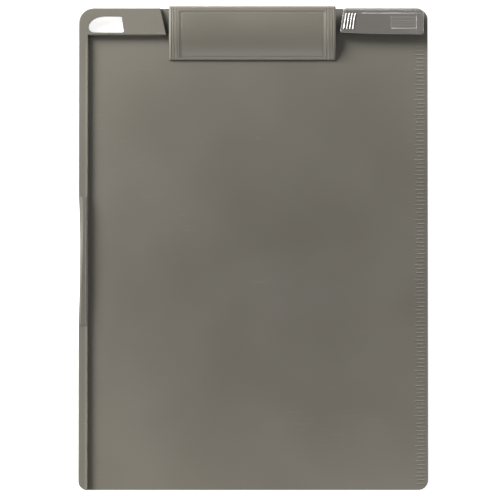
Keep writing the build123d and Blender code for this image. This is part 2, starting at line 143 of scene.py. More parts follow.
area_light("key_light", (-1.46, 1.46, 1.15), (1.05, 1.05), 98)
area_light("front_fill", (0.1, -1.55, 1.25), (1.6, 0.6), 10.5)
STRIP_SIZE = (1.5, 0.22)
STRIPS = {                          # place in metres, power in watts
    "left_strip": ((-1.6, 0.25, 1.0), 48),
    "right_strip": ((1.6, 0.1, 0.9), 22),
    "rear_strip": ((0.1, 1.6, 0.95), 30),
    "front_strip": ((0.1, -1.6, 0.95), 4),
}
for name, (spot, power) in STRIPS.items():
    area_light(name, spot, STRIP_SIZE, power).visible_diffuse = False
RING_RADIUS, RING_HEIGHT, RING_PANEL, RING_POWER = 0.62, 1.9, (0.5, 0.5), 0.4
for index in range(4):
    turn = math.radians(45 + 90 * index)
    spot = (RING_RADIUS * math.cos(turn), RING_RADIUS * math.sin(turn), RING_HEIGHT)
    area_light(f"ring_panel_{index}", spot, RING_PANEL, RING_POWER)
print("lights:", len(bpy.data.lights))

# %% The room
GLOW = {"From Min": 0.12, "From Max": 0.5, "To Min": 0.6, "To Max": 0.02}    # strength by height
world = bpy.data.worlds.new("soft_room")
world.use_nodes = True
room = world.node_tree
direction = room.nodes.new("ShaderNodeTexCoord")
parts = room.nodes.new("ShaderNodeSeparateXYZ")
glow = room.nodes.new("ShaderNodeMapRange")
glow.interpolation_type = "SMOOTHSTEP"
for socket, value in GLOW.items():
    glow.inputs[socket].default_value = value
room.links.new(direction.outputs["Generated"], parts.inputs["Vector"])
room.links.new(parts.outputs["Z"], glow.inputs["Value"])
room.links.new(glow.outputs["Result"], room.nodes["Background"].inputs["Strength"])
room.nodes["Background"].inputs["Color"].default_value = (1.0, 1.0, 1.0, 1.0)
bpy.context.scene.world = world
bpy.context.scene.view_settings.view_transform = "Standard"
print("world:", world.name)

# %% [markdown]
# ## Tools for surfaces
# A moulded cap is two skins over one plan: the height of its top and the
# height of its hollow underside, joined by a wall round the border.  Both
# heights are formulas in the plan's coordinates, so a groove or a rounding is
# one more term.  Grid lines are placed closer where the shape turns.


# %% Surface tools
def smooth_step(value, start, end):
    """0 before start, 1 after end, and 3t^2 - 2t^3 between them."""
    share = np.clip((value - start) / (end - start), 0, 1)
    return share * share * (3 - 2 * share)


def step_at(value, place, soft=0.04):
    """A smooth step centred on a place and two softs wide."""
    return smooth_step(value, place - soft, place + soft)


def band(value, middle, half_width, soft=0.08):
    """1 within half_width of the middle and 0 beyond it, with soft shoulders."""
    return 1 - smooth_step(np.abs(value - middle), half_width - soft, half_width + soft)


def round_drop(distance, radius):
    """How far a quarter-round edge of this radius has dropped, at a distance from the border."""
    inside = radius - np.clip(distance, 0, radius)
    return radius - np.sqrt(radius ** 2 - inside ** 2)


def grid_lines(start, end, step, turns, reach=(-0.16, -0.08, 0, 0.08, 0.16)):
    """Even places from start to end, and more of them close round each turn of the shape."""
    even = np.linspace(start, end, int((end - start) / step) + 2)
    close = np.add.outer(np.asarray(turns), np.asarray(reach)).ravel()
    places = np.concatenate([even, close])
    return np.unique(places[(places >= start) & (places <= end)].round(4))


def enclosed_volume(points, quads):
    """Volume inside quads: a sixth of the sum of a.(b x c) over their triangles."""
    a, b, c, d = (points[quads[:, corner]] for corner in range(4))
    first = np.einsum("ij,ij->i", a, np.cross(b, c)).sum()
    second = np.einsum("ij,ij->i", a, np.cross(c, d)).sum()
    return (first + second) / 6


def outward(points, quads):
    """The quads, turned over if they enclose a negative volume."""
    return quads if enclosed_volume(points, quads) > 0 else quads[:, ::-1]


def two_skins(x, y, top, bottom):
    """Points and quads of an upper and a lower skin over one plan grid, with a wall round it."""
    rows, cols = x.shape
    index = np.arange(rows * cols).reshape(rows, cols)
    corners = (index[:-1, :-1], index[:-1, 1:], index[1:, 1:], index[1:, :-1])
    skin = np.stack(corners, -1).reshape(-1, 4)
    border = np.concatenate([index[0, :-1], index[:-1, -1], index[-1, :0:-1], index[:0:-1, 0]])
    following = np.roll(border, -1)
    under = rows * cols
    wall = np.stack([border, border + under, following + under, following], -1)
    quads = np.concatenate([skin, skin[:, ::-1] + under, wall])
    points = np.concatenate([np.stack([x, y, z], -1).reshape(-1, 3) for z in (top, bottom)])
    return points, outward(points, quads)


def ring_grid(points):
    """Quads that join a (rows, cols, 3) grid round in both directions, like a tyre."""
    rows, cols = points.shape[:2]
    index = np.arange(rows * cols).reshape(rows, cols)
    after_row, after_col = np.roll(index, -1, 0), np.roll(index, -1, 1)
    corner = np.roll(after_row, -1, 1)
    quads = np.stack([index, after_col, corner, after_row], -1).reshape(-1, 4)
    return points.reshape(-1, 3), outward(points.reshape(-1, 3), quads)


def joined(*surfaces):
    """Several (points, quads) surfaces as one."""
    starts = np.cumsum([0] + [len(points) for points, _ in surfaces[:-1]])
    points = np.concatenate([points for points, _ in surfaces])
    quads = np.concatenate([quads + start for (_, quads), start in zip(surfaces, starts)])
    return points, quads


def new_piece(name, points, faces, crease=40.0):
    """An object from points in millimetres, smooth except along edges sharper than the crease."""
    mesh = bpy.data.meshes.new(name)
    mesh.from_pydata((np.asarray(points) * MM).tolist(), [], [list(face) for face in faces])
    mesh.polygons.foreach_set("use_smooth", np.ones(len(mesh.polygons), bool))
    mesh.set_sharp_from_angle(angle=math.radians(crease))
    piece = bpy.data.objects.new(name, mesh)
    bpy.context.scene.collection.objects.link(piece)
    print(name, len(mesh.polygons), "faces")
    return piece


# %% [markdown]
# ## Floor
# A sheet of white paper, wide enough that even a low view never sees its
# edges.  It lies a hair below the board's back, so the two share no plane.

# %% The floor
FLOOR_REACH, FLOOR_GAP = 40000.0, 0.05
corners = np.array([[-1, -1, 0], [1, -1, 0], [1, 1, 0], [-1, 1, 0]]) * FLOOR_REACH
floor = new_piece("studio_floor", corners + [0, 0, -FLOOR_GAP], [[0, 1, 2, 3]])

# %% [markdown]
# ## The clip's flap
# On the real clip this is one thin moulding: a flat rear to press on, a long
# curve down to the jaw, a panel sunk between two ribbed flanks, and skirts all
# round that hide the spring.  A box with fillets would give the outline but
# not the fine steps, so the top is one height formula: the long curve, less
# the bevels, the grooves, the panel and the rounded ends.

# %% Sizes of the flap
FLAP_START = TOP_Y - flap_high[1]
FLAP_END = TOP_Y - flap_low[1]
FLAP_TOP = flap_high[2]
FLAP_SKIRT = flap_low[2]
FLAT_END = 6.0                      # the roof is flat up to here, and an arc beyond
NOSE_DROP = 8.3
NOSE_RUN = FLAP_END - FLAT_END
ROOF_RADIUS = (NOSE_RUN ** 2 + NOSE_DROP ** 2) / (2 * NOSE_DROP)
BEVEL_W, BEVEL_DEPTH = 1.1, 0.9
REAR_RADIUS, NOSE_RADIUS = 1.4, 0.5
FLANK_GROOVES, GROOVE_HALF, GROOVE_DEPTH = (49.65, 51.75, 53.45), 0.25, 0.28
PANEL_HALF, PANEL_SHOULDER, PANEL_DEPTH = 47.4, 49.2, 0.5
PANEL_START, PANEL_END, PANEL_RUN_IN, PANEL_RUN_OUT = 2.0, 32.4, 1.3, 1.0
OUTLINE_HALF, OUTLINE_DEPTH = 0.22, 0.1
OUTLINE_SIDE, OUTLINE_REAR, OUTLINE_FRONT = 0.5, 1.5, 0.35      # how far inside the panel's borders
SKIRT_TURNS, SKIRT_REAR, SKIRT_MIDDLE = (7.5, 11.0), 8.0, 4.0   # the skirt is cut away at the rear
HOLLOW_HALF, HOLLOW_START, HOLLOW_END, HOLLOW_DEPTH = 53.8, 1.1, 31.7, 2.3
EYE_INNER, EYE_WIDTH, EYE_R, EYE_BORE = 49.0, 1.6, 2.6, 1.55
EYE_SUNK, EYE_SIDES = 0.3, 64       # the rib runs this far into the ceiling
print("roof radius", round(ROOF_RADIUS, 2))


# %% The flap
def roof(down):
    """Flat as far as FLAT_END, then an arc of ROOF_RADIUS down to the nose."""
    along = np.maximum(down - FLAT_END, 0)
    return FLAP_TOP - ROOF_RADIUS + np.sqrt(ROOF_RADIUS ** 2 - along ** 2)


def flap_relief(side, down):
    """Depth taken off the roof: side bevels, flank grooves, the sunk panel and its thin outline."""
    bevel = BEVEL_DEPTH * np.clip((side - FLAP_HALF + BEVEL_W) / BEVEL_W, 0, 1)
    grooves = sum(GROOVE_DEPTH * band(side, place, GROOVE_HALF) for place in FLANK_GROOVES)
    across = 1 - smooth_step(side, PANEL_HALF, PANEL_SHOULDER)
    along = smooth_step(down, PANEL_START, PANEL_START + PANEL_RUN_IN)
    along = along * (1 - smooth_step(down, PANEL_END, PANEL_END + PANEL_RUN_OUT))
    inside = (side < PANEL_HALF) & (down > PANEL_START + 1.2) & (down < PANEL_END)
    outline = band(side, PANEL_HALF - OUTLINE_SIDE, OUTLINE_HALF)
    outline = outline + band(down, PANEL_START + OUTLINE_REAR, OUTLINE_HALF)
    outline = outline + band(down, PANEL_END - OUTLINE_FRONT, OUTLINE_HALF)
    outline = np.minimum(outline, 1) * inside
    return bevel + grooves + PANEL_DEPTH * across * along + OUTLINE_DEPTH * outline


def make_flap():
    """Two skins over (side, down): roof less relief, and a hollow inside a skirt."""
    turns = [FLAP_HALF - BEVEL_W, HOLLOW_HALF, PANEL_SHOULDER, PANEL_SHOULDER - 1.2, PANEL_HALF]
    turns += [place + edge for place in FLANK_GROOVES for edge in (-GROOVE_HALF, GROOVE_HALF)]
    turns += [PANEL_HALF - 0.72, PANEL_HALF - 0.28]
    half = grid_lines(0, FLAP_HALF, 4.0, turns)
    across = np.unique(np.concatenate([-half, half]))
    turns = [PANEL_START + step for step in (0, 0.7, PANEL_RUN_IN, 1.7)]
    turns += [PANEL_END + step for step in (-0.57, -0.13, 0.5, PANEL_RUN_OUT)]
    turns += [HOLLOW_START, HOLLOW_END, FLAT_END, *SKIRT_TURNS]
    turns += [FLAP_START + step for step in (0.2, 0.5, 1.0, 1.4)]
    turns += [FLAP_END - step for step in (0.1, 0.3, 0.6)]
    down = grid_lines(FLAP_START, FLAP_END, 1.0, turns)
    x, down = np.meshgrid(across, down)
    side = np.abs(x)
    top = roof(down) - flap_relief(side, down)
    top -= round_drop(down - FLAP_START, REAR_RADIUS) + round_drop(FLAP_END - down, NOSE_RADIUS)
    skirt = np.interp(down, [FLAP_START, *SKIRT_TURNS], [SKIRT_REAR, SKIRT_MIDDLE, FLAP_SKIRT])
    hollow = 1 - step_at(side, HOLLOW_HALF)
    hollow *= step_at(down, HOLLOW_START)
    hollow *= 1 - step_at(down, HOLLOW_END)
    bottom = skirt + (roof(down) - HOLLOW_DEPTH - skirt) * hollow
    return two_skins(FLAP_X + x, TOP_Y - down, top, bottom)


def make_eye(side):
    """A rib with an eye: a ring between the bore's circle and a round-bottomed, square-topped edge."""
    turn = np.linspace(0, 2 * np.pi, EYE_SIDES, endpoint=False)
    reach = (FLAP_TOP - HOLLOW_DEPTH + EYE_SUNK - AXLE_Z) / EYE_R
    square = np.maximum(np.abs(np.cos(turn)), np.abs(np.sin(turn)) / reach)
    outer = np.where(np.sin(turn) > 0, EYE_R / square, EYE_R)
    near = FLAP_X + side * EYE_INNER
    far = near + side * EYE_WIDTH
    rows = [(near, EYE_BORE), (near, outer), (far, outer), (far, EYE_BORE)]
    loop = []
    for x, radius in rows:
        y, z = AXLE_Y + radius * np.cos(turn), AXLE_Z + radius * np.sin(turn)
        loop.append(np.stack([np.full(EYE_SIDES, x), y, z], -1))
    return ring_grid(np.array(loop))


flap = new_piece("clip_flap", *joined(make_flap(), make_eye(-1), make_eye(1)))
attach(flap, "clip")
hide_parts("clip_cover")

# %% [markdown]
# ## The pen arm
# A glossy see-saw: pressing the ridged pad at its left end lifts the long
# right end, and a pen slips under it.  It is moulded as a thin cap over its
# pin.  Its grid leans with the slanted left end and straightens up to the
# right, so that the four ridges run exactly along grid lines.

# %% Sizes of the pen arm
ARM_START = TOP_Y - arm_high[1]
ARM_TOP = arm_high[2] - 0.45        # leaves room above for the ridges
ARM_RIGHT = arm_high[0]
ARM_LEFT = arm_high[0] - 53.2       # the slanted end where it meets the upper edge
ARM_DEPTH = 16.4
ARM_LEAN = -2.5 / ARM_DEPTH         # sideways lean of the slanted end
LEAN_ENDS = (71.0, 86.0)            # the grid straightens up between these
ARM_LOW_START, ARM_LOW_LEFT, ARM_LOW_RIGHT, ARM_BOW = 57.3, 16.7, 17.8, 0.35
LAST_ROW = 16.0                     # rows are level down to here, then follow the bowed edge
ARM_CORNER, ARM_BOARD_CORNER = 1.2, 4.0
ARM_EDGE = 0.5
LEDGE_DEPTH, LEDGE_START, LEDGE_END = 0.35, 0.9, 1.5
RIDGES = tuple(62.6 + 2.0 * index for index in range(4))
RIDGE_RISE, RIDGE_FALL, RIDGE_HEIGHT = 0.85, 0.35, 0.44
RIDGE_TOP, RIDGE_BOTTOM = (3.5, 4.3), (14.0, 14.8)
THUMB_SLOPE_START, THUMB_SLOPE = 61.7, 0.3
ARM_GROOVE, ARM_GROOVE_LEFT, ARM_GROOVE_RIGHT = 3.5, (71.0, 73.0), (111.2, 111.8)
TIP_SLOPE, TIP_DROP, TIP_BEAD, TIP_BEAD_HEIGHT = (109.6, 112.9), 0.25, 108.9, 0.1
LABEL = (91.4, 108.2, 5.6, 13.7)    # left, right, upper and lower border
LABEL_DEPTH, RIB_HEIGHT, RIB_MARGIN = 0.16, 0.06, 1.2
RIB_COUNT, RIB_FIRST, RIB_PITCH, RIB_HALF = 4, 1.75, 1.6, 0.35
ARM_CEILING = ARM_TOP - 1.8
ARM_HOLLOW = (2.2, 15.4, 111.8)     # upper, lower and right border
ARM_SKIRT_X = (66.1, 68.9, 74.1, 77.5)
ARM_SKIRT_Z = (ARM_CEILING, 4.2, 4.2, 6.9)
ARM_THINNEST = 0.9
print("arm from", round(ARM_LEFT, 1), "to", round(ARM_RIGHT, 1), "top", round(ARM_TOP, 2))


# %% The pen arm
def arm_low_edge(x):
    """The lower edge: a straight line that bows outwards in the middle."""
    share = np.clip((x - ARM_LOW_START) / (ARM_RIGHT - ARM_LOW_START), 0, 1)
    return ARM_LOW_LEFT + (ARM_LOW_RIGHT - ARM_LOW_LEFT) * share + 4 * ARM_BOW * share * (1 - share)


def arm_plan():
    """Plan grid: x leans with the slanted end, y runs from the straight edge to the bowed one.

    Rows are distances down to LAST_ROW.  Past 100 they are shares of the way on to the bowed edge.
    """
    turns = [LABEL[0], LABEL[1], TIP_BEAD, 110.6, ARM_HOLLOW[2], 112.5]
    turns += [place + edge for place in RIDGES for edge in (-RIDGE_RISE, -0.6, -0.4, -0.2, 0, RIDGE_FALL)]
    turns += [ARM_LEFT + step for step in (0.15, 0.3, 0.5, 0.8, 1.2)]
    turns += [ARM_RIGHT - step for step in (0.15, 0.3, 0.5, 0.8, 1.2)]
    start = grid_lines(ARM_LEFT, ARM_RIGHT, 0.9, turns, (-0.1, 0, 0.1))
    turns = [ARM_HOLLOW[0], 3.0, 3.25, ARM_GROOVE, 3.75, 4.0, LABEL[2], LABEL[3], 14.2, ARM_HOLLOW[1]]
    ribs = [LABEL[2] + RIB_FIRST + RIB_PITCH * index for index in range(RIB_COUNT)]
    turns += [place + edge for place in ribs for edge in (-RIB_HALF, RIB_HALF)]
    turns += [ARM_START + step for step in (0.06, 0.15, 0.3, 0.5, 0.9, 1.05, 1.2, 1.35, 1.5)]
    rows = grid_lines(ARM_START, LAST_ROW, 0.7, turns, (-0.12, 0, 0.12))
    last = 1 - np.array([0.7, 0.5, 0.35, 0.22, 0.12, 0.05, 0.015, 0])
    start, rows = np.meshgrid(start, np.concatenate([rows, 100 + last]))
    straight = smooth_step(start, *LEAN_ENDS)
    low = arm_low_edge(start + ARM_LEAN * ARM_DEPTH * (1 - straight))
    down = np.where(rows < 100, rows, LAST_ROW + (rows - 100) * (low - LAST_ROW))
    inset = round_drop(np.minimum(down - ARM_START, low - down), ARM_CORNER)
    x = start + ARM_LEAN * (down - ARM_START) * (1 - straight)
    x += inset * (1 - np.clip((start - ARM_LEFT) / 1.6, 0, 1))
    inset = np.maximum(round_drop(down - ARM_START, ARM_BOARD_CORNER), round_drop(low - down, ARM_CORNER))
    x -= inset * np.clip((start - ARM_RIGHT + 4.6) / 4.6, 0, 1)
    return start, x, down, low


def arm_top(start, x, down, low):
    """Top height: a cap with a rear ledge, a thumb slope, saw-tooth ridges, a groove and a ribbed recess."""
    end = np.minimum((start - ARM_LEFT) * 0.97, ARM_RIGHT - start)
    side = np.minimum(down - ARM_START, low - down)
    edge = np.minimum(end, side)
    ledge = 1 - smooth_step(down - ARM_START, LEDGE_START, LEDGE_END)
    top = ARM_TOP - round_drop(edge, ARM_EDGE) - LEDGE_DEPTH * ledge
    top -= THUMB_SLOPE * np.clip(THUMB_SLOPE_START - start, 0, 2)
    inside = smooth_step(down, *RIDGE_TOP) * (1 - smooth_step(down, *RIDGE_BOTTOM))
    for place in RIDGES:
        climb = np.clip((start - place) / RIDGE_RISE + 1, 0, 1)
        fall = np.clip(1 - (start - place) / RIDGE_FALL, 0, 1)
        top += RIDGE_HEIGHT * (1.2 * climb - 0.2 * climb ** 2) * fall * inside
    long_part = smooth_step(start, *ARM_GROOVE_LEFT) * (1 - smooth_step(start, *ARM_GROOVE_RIGHT))
    top -= long_part * 0.2 * band(down, ARM_GROOVE, 0.25, 0.25)
    top -= TIP_DROP * smooth_step(start, *TIP_SLOPE) - TIP_BEAD_HEIGHT * band(start, TIP_BEAD, 0.6, 0.3)
    left, right, upper, lower = LABEL
    recess = step_at(x, left, 0.1) * (1 - step_at(x, right, 0.1))
    recess *= step_at(down, upper, 0.1) * (1 - step_at(down, lower, 0.1))
    first = upper + RIB_FIRST
    ribs = sum(band(down, first + RIB_PITCH * index, RIB_HALF, 0.12) for index in range(RIB_COUNT))
    ribs *= step_at(x, left + RIB_MARGIN, 0.1) * (1 - step_at(x, right - RIB_MARGIN, 0.1))
    return top - recess * (LABEL_DEPTH - RIB_HEIGHT * ribs)


def make_arm():
    """Two skins: the finished top, and a hollow ceiling inside a skirt that is deepest at the pin."""
    start, x, down, low = arm_plan()
    top = arm_top(start, x, down, low)
    upper, lower, right = ARM_HOLLOW
    skirt = np.interp(x, ARM_SKIRT_X, ARM_SKIRT_Z)
    hollow = step_at(down, upper) * (1 - step_at(down, lower)) * (1 - step_at(x, right))
    bottom = skirt + (ARM_CEILING - skirt) * hollow
    bottom = np.minimum(bottom, top - ARM_THINNEST)
    return two_skins(x, TOP_Y - down, top, bottom)


arm = new_piece("pen_clamp_arm", *make_arm())
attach(arm, "pen_holder")
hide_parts("pen_arm")

# %% [markdown]
# ## The grip
# A soft strip pressed into the left rim where the hand holds the board.  Its
# upper end is cut square, its lower end tapers away, and it follows the shallow
# waist in the board's edge.  A tongue under it fills the groove in the rim.

# %% The grip
GRIP_START, GRIP_END = TOP_Y - grip_high[1], TOP_Y - grip_low[1]
RIM_TOP = 6.6                       # height of the board's rim
WAIST_START, WAIST_END, WAIST, WAIST_POWER = 124.5, 210.0, 0.93, 0.8
TAPER_START, TAPER_END, TAPER_DROP = GRIP_END - 34, GRIP_END + 4, 1.15
BEVEL_NARROW, BEVEL_EXTRA, BEVEL_RUN, BEVEL_DROP = 0.25, 1.5, 62, 0.5
SEAM_INSET, SEAM_HALF, SEAM_DEPTH = 1.0, 0.16, 0.18
TONGUE_START, TONGUE_END, TONGUE_HALF = GRIP_START + 4, GRIP_END - 12, 1.0


def make_grip():
    """Two skins over (across, down): a low bar with an outer bevel that narrows downwards, and a tongue.

    Its left border is drawn in by half a sine wave, raised to WAIST_POWER, over the waist.
    """
    across = grid_lines(0, 1, 0.09, (0.07, 0.27, 0.73, 0.93), (-0.05, -0.02, 0, 0.02, 0.05))
    turns = [GRIP_START + step for step in (0.15, 0.4, 0.8)]
    turns += [TONGUE_START, TONGUE_END]
    turns += [GRIP_END - step for step in (26, 1.5, 0.5)]
    down = grid_lines(GRIP_START, GRIP_END, 1.2, turns, (-0.1, -0.04, 0, 0.04, 0.1))
    across, down = np.meshgrid(across, down)
    share = np.clip((down - WAIST_START) / (WAIST_END - WAIST_START), 0, 1)
    left = grip_low[0] + WAIST * np.sin(np.pi * share) ** WAIST_POWER
    x = left + across * (grip_high[0] - left)
    top = grip_high[2] - TAPER_DROP * smooth_step(down, TAPER_START, TAPER_END)
    bevel = BEVEL_EXTRA * (1 - smooth_step(down, GRIP_START, GRIP_START + BEVEL_RUN)) + BEVEL_NARROW
    top -= BEVEL_DROP * np.clip(1 - (x - left) / bevel, 0, 1)
    seam = band(x, grip_high[0] - SEAM_INSET, SEAM_HALF, 0.1)
    top -= round_drop(grip_high[0] - x, 0.5) + SEAM_DEPTH * seam
    top -= round_drop(down - GRIP_START, 0.3) + round_drop(GRIP_END - down, 0.3)
    middle = (grip_low[0] + grip_high[0]) / 2
    tongue = (np.abs(x - middle) < TONGUE_HALF) & (down > TONGUE_START) & (down < TONGUE_END)
    bottom = np.where(tongue, grip_low[2] + 0.02, RIM_TOP - 0.02)
    return two_skins(x, TOP_Y - down, np.maximum(top, RIM_TOP + 0.1), bottom)


grip = new_piece("rim_grip", *make_grip())
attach(grip, "board_body")
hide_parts("grip_strip")

# %% [markdown]
# ## The springs
# Round wire wound on a mandrel.  The wire's middle line is a helix that runs on
# straight, along its own tangent, at both ends.  The tube is a small circle
# carried along that line on the radial direction and the direction across it.

# %% The springs
RING_SIDES, STEPS_PER_TURN = 14, 36
PITCH_PER_WIRE, BLEND_INSET = 1.1, 0.3


def spring_surface(axis_point, axes, radius, wire, turns, pitch, leg):
    """Tube round a helix: angle = length / radius, held at both ends where the legs run straight."""
    coil = 2 * np.pi * turns * radius
    wound = np.linspace(0, coil, int(turns * STEPS_PER_TURN))
    length = np.concatenate([[-leg, -leg / 2], wound, [coil + leg / 2, coil + leg]])
    held = length.clip(0, coil)
    angle = held / radius
    first, second, along = (np.array(axis, float) for axis in axes)
    radial = np.outer(np.cos(angle), first) + np.outer(np.sin(angle), second)
    tangent = np.outer(-np.sin(angle), first) + np.outer(np.cos(angle), second)
    slope = pitch / (2 * np.pi * radius)
    line = radial * radius + tangent * (length - held)[:, None] + np.outer(length * slope, along)
    turn = np.linspace(0, 2 * np.pi, RING_SIDES, endpoint=False)
    circle = radial[:, None] * np.cos(turn)[None, :, None] + along * np.sin(turn)[None, :, None]
    points = (axis_point + line)[:, None] + circle * wire / 2
    index = np.arange(len(length) * RING_SIDES).reshape(-1, RING_SIDES)
    after = np.roll(index, -1, 1)
    quads = np.stack([index[:-1], after[:-1], after[1:], index[1:]], -1).reshape(-1, 4)
    flip = np.linalg.det(np.array([first, second, along])) > 0
    faces = [list(quad) for quad in (quads if flip else quads[:, ::-1])]
    ends = [list(index[0][::-1]), list(index[-1])]
    faces += ends if flip else [end[::-1] for end in ends]
    return points.reshape(-1, 3), faces


def make_spring(name, body, node, axis_point, axes, radius, wire, turns, leg):
    """One spring piece, with the CAD spring that it replaces hidden."""
    pitch = wire * PITCH_PER_WIRE
    surface = spring_surface(axis_point, axes, radius, wire, turns, pitch, leg)
    piece = new_piece(name, *surface, crease=60)
    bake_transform(piece)
    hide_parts(node)
    return piece


DOWN, FRONT = (0, 0, -1), (0, -1, 0)
CLIP_SPRING = dict(radius=2.35, wire=1.0, turns=4.49, leg=6.5)
CLIP_SPRING_X = (bracket_high[0] - bracket_low[0]) / 2 - 1.8      # beside the bracket's ears
springs = []
for side, name in ((-1, "left"), (1, "right")):
    point = (FLAP_X + side * CLIP_SPRING_X, AXLE_Y, AXLE_Z)
    axes = (DOWN, FRONT, (-side, 0, 0))
    springs.append(
        make_spring(f"clip_torsion_spring_{name}", "clip", f"clip_spring_{name}", point, axes, **CLIP_SPRING)
    )
ARM_SPRING = dict(radius=1.45, wire=0.6, turns=5.5, leg=7.5)
ARM_SPRING_DOWN = 6.6               # the coil's first turn, below the top edge
point = (ARM_PIN_X, TOP_Y - ARM_SPRING_DOWN, ARM_PIN_Z)
axes = (DOWN, (1, 0, 0), FRONT)
springs.append(
    make_spring("pen_arm_torsion_spring", "pen_holder", "pen_arm_spring", point, axes, **ARM_SPRING)
)

# %% [markdown]
# ## The edge rule
# Low ridges moulded along the right edge, two and a half millimetres apart,
# longer at every second and fourth.  Each is a gable with long sloping sides:
# one set of eight corners, scaled and moved to every place at once.

# %% The edge rule
RULE_START, RULE_END, RULE_RIGHT = 21.0, 316.0, 113.8
MARK_PITCH, MARK_WIDTH, MARK_HEIGHT = 2.5, 1.2, 0.13
MARK_LENGTHS = (4.9, 5.5, 6.5)      # every mark, second and fourth
MARK_SUNK, CROWN_HALF = 0.02, 0.06  # the foot is this far inside the plate; the crown's share


def make_marks():
    """A gabled bar at each mark of the rule, as (marks, corners, 3) in one array."""
    count = np.arange(int((RULE_END - RULE_START) / MARK_PITCH) + 1)
    length = np.where(count % 2 == 0, MARK_LENGTHS[1], MARK_LENGTHS[0])
    length = np.where(count % 4 == 0, MARK_LENGTHS[2], length)
    corners = np.array([[-1, -1, 0], [0, -1, 0], [0, 1, 0], [-1, 1, 0]], float)
    foot = corners * [1, 0.5, 0]
    crown = corners * [1, CROWN_HALF, 0] + [0, 0, 1]
    bar = np.concatenate([foot, crown])
    each = np.ones_like(length)
    size = np.stack([length, MARK_WIDTH * each, (MARK_HEIGHT + MARK_SUNK) * each], -1)
    spot_y = TOP_Y - RULE_START - MARK_PITCH * count
    place = np.stack([RULE_RIGHT * each, spot_y, (PLATE_TOP - MARK_SUNK) * each], -1)
    points = bar[None] * size[:, None] + place[:, None]
    quads = np.array([[0, 3, 2, 1], [4, 5, 6, 7], [0, 1, 5, 4], [1, 2, 6, 5], [2, 3, 7, 6], [3, 0, 4, 7]])
    quads = (quads[None] + 8 * count[:, None, None]).reshape(-1, 4)
    return points.reshape(-1, 3), quads


marks = new_piece("edge_rule_marks", *make_marks(), crease=20)
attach(marks, "board_body")

# %% [markdown]
# ## Tools for finishes
# A finish is a small tree of nodes.  These helpers add a node, give its
# sockets values or links, and keep the trees below short enough to read.


# %% Node helpers
def feed(tree, socket, source):
    """Link a socket to another node's output, or set it to a plain value."""
    if isinstance(source, bpy.types.NodeSocket):
        tree.links.new(source, socket)
    else:
        socket.default_value = source


def add(tree, kind, settings=(), **sources):
    """A new node with settings, and sources for the sockets named with _ for each space."""
    node = tree.nodes.new(kind)
    for name, value in dict(settings).items():
        setattr(node, name, value)
    for name, source in sources.items():
        feed(tree, node.inputs[name.replace("_", " ")], source)
    return node


def maths(tree, operation, first, second=0.0, third=0.0):
    """The output of a Math node on up to three numbers."""
    node = tree.nodes.new("ShaderNodeMath")
    node.operation = operation
    for socket, source in zip(node.inputs, (first, second, third)):
        feed(tree, socket, source)
    return node.outputs["Value"]


def span(tree, value, low, high, to_low=0.0, to_high=1.0, smooth=True):
    """A value carried from one range to another, held at both ends."""
    settings = {"interpolation_type": "SMOOTHSTEP" if smooth else "LINEAR"}
    sources = dict(Value=value, From_Min=low, From_Max=high, To_Min=to_low, To_Max=to_high)
    return add(tree, "ShaderNodeMapRange", settings, **sources).outputs["Result"]


def blend_colour(tree, share, first, second, mode="MIX"):
    """A Mix node on two colours."""
    node = tree.nodes.new("ShaderNodeMix")
    node.data_type = "RGBA"
    node.blend_type = mode
    feed(tree, node.inputs["Factor"], share)
    feed(tree, node.inputs[6], first)
    feed(tree, node.inputs[7], second)
    return node.outputs[2]


def lighten(tree, share, tone, amount):
    """A tone multiplied by an amount, as far as the share says."""
    return blend_colour(tree, share, tone, (amount, amount, amount, 1.0), "MULTIPLY")


def here(tree, stretch=(1, 1, 1), turn=0.0):
    """Object coordinates in metres, stretched and turned about Z."""
    place = tree.nodes.new("ShaderNodeTexCoord").outputs["Object"]
    turned = add(tree, "ShaderNodeMapping", Vector=place)
    turned.inputs["Rotation"].default_value = (0, 0, turn)
    turned.inputs["Scale"].default_value = stretch
    return turned.outputs["Vector"]


def new_group(name, inputs, outputs):
    """A shader node group with number inputs and number (or vector) outputs."""
    group = bpy.data.node_groups.new(name, "ShaderNodeTree")
    for label, value in inputs.items():
        socket = group.interface.new_socket(label, in_out="INPUT", socket_type="NodeSocketFloat")
        socket.default_value = value
    for label in outputs:
        kind = "NodeSocketVector" if label == "Normal" else "NodeSocketFloat"
        group.interface.new_socket(label, in_out="OUTPUT", socket_type=kind)
    return group, group.nodes.new("NodeGroupInput").outputs, group.nodes.new("NodeGroupOutput").inputs


# %% [markdown]
# ## Shared effects
# Four things happen to most parts of a used clipboard.  The mould leaves a fine
# grain and faint clouds of tone; edges are rubbed lighter and rounder; the
# surface picks up hairline scuffs; and drawn or rolled metal keeps fine lines
# along one way.  Each is one node group, with its own scale in each material.

# %% Mould grain
grain_group, given, result = new_group("mould_grain", {"Scale": 2200.0, "Clouds": 16.0}, ("Height", "Shade"))
fine = add(grain_group, "ShaderNodeTexNoise", Vector=here(grain_group), Scale=given["Scale"], Detail=3.0)
pores = add(grain_group, "ShaderNodeTexVoronoi", Vector=here(grain_group))
feed(grain_group, pores.inputs["Scale"], maths(grain_group, "MULTIPLY", given["Scale"], 0.55))
cloud = add(grain_group, "ShaderNodeTexNoise", Vector=here(grain_group), Scale=given["Clouds"], Detail=4.0)
height = maths(grain_group, "MULTIPLY_ADD", pores.outputs["Distance"], 0.6, fine.outputs["Fac"])
shade = maths(grain_group, "MULTIPLY_ADD", fine.outputs["Fac"], 0.25, cloud.outputs["Fac"])
feed(grain_group, result["Height"], height)
feed(grain_group, result["Shade"], span(grain_group, shade, 0.4, 0.85))
print("group:", grain_group.name)

# %% [markdown]
# The Bevel node gives the normal that a rounded edge would have.  Where it
# differs from the true normal there is an edge, so one node serves both for
# rounding and for wear; noise breaks the worn line up.

